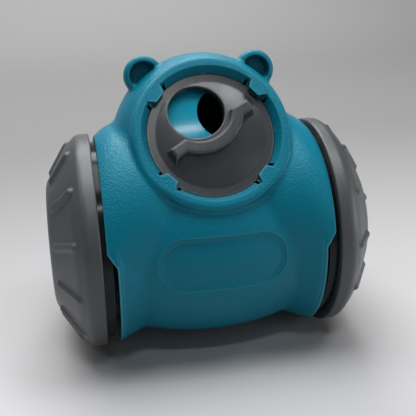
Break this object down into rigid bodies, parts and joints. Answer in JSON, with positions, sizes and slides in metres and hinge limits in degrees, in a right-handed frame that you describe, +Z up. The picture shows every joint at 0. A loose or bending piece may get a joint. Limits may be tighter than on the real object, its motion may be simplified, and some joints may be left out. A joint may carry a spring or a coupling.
{
  "type": "treat dispensing toy",
  "caption": "Rolling treat dispensing toy: a weighted bear-eared barrel between two free wheels, with a rotary door that sets the size of the treat opening.",
  "frame": {"origin": "on the floor, midway between the two wheels and straight below their axle", "axes": "+X along the axle towards the right wheel as seen from the front, -Y is the front with the treat door, +Z up"},
  "size_m": [0.1348, 0.0922, 0.1236],
  "materials": {
    "teal_shell": "fine spark-eroded texture, moulded in colour",
    "teal_gloss": "polished, moulded in colour",
    "grey_plastic": "fine satin texture",
    "charcoal_plastic": "smooth, semi-gloss",
    "bush_plastic": "plain acetal",
    "axle_steel": "turned, bright zinc plated",
    "screw_steel": "zinc plated",
    "ballast_steel": "raw, sawn and tumbled"
  },
  "bodies": {
    "housing": {"front_shell": "teal_shell", "rear_shell": "teal_shell", "shell_screws": "screw_steel", "shutter_plate": "teal_gloss", "plate_screws": "screw_steel", "ballast_slug": "ballast_steel", "ballast_cover": "charcoal_plastic", "cover_screws": "screw_steel", "left_end_plate": "charcoal_plastic", "left_axle_pin": "axle_steel", "left_axle_washer": "axle_steel", "left_axle_screw": "screw_steel", "right_end_plate": "charcoal_plastic", "right_axle_pin": "axle_steel", "right_axle_washer": "axle_steel", "right_axle_screw": "screw_steel"},
    "door": {"rotary_door": "grey_plastic"},
    "left_wheel": {"left_wheel_dome": "grey_plastic", "left_wheel_drum": "charcoal_plastic", "left_hub_bush": "bush_plastic", "left_hub_cap": "grey_plastic"},
    "right_wheel": {"right_wheel_dome": "grey_plastic", "right_wheel_drum": "charcoal_plastic", "right_hub_bush": "bush_plastic", "right_hub_cap": "grey_plastic"}
  },
  "joints": [
    {"name": "left_wheel_spin", "type": "hinge", "parent": "housing", "child": "left_wheel", "pos_m": [-0.055, 0, 0.046], "axis": [1, 0, 0], "continuous": true},
    {"name": "right_wheel_spin", "type": "hinge", "parent": "housing", "child": "right_wheel", "pos_m": [0.055, 0, 0.046], "axis": [1, 0, 0], "continuous": true},
    {"name": "door_turn", "type": "hinge", "parent": "housing", "child": "door", "pos_m": [0, -0.021, 0.0978], "axis": [0, -0.8121, 0.5835], "range_deg": [-66, 114]}
  ]
}
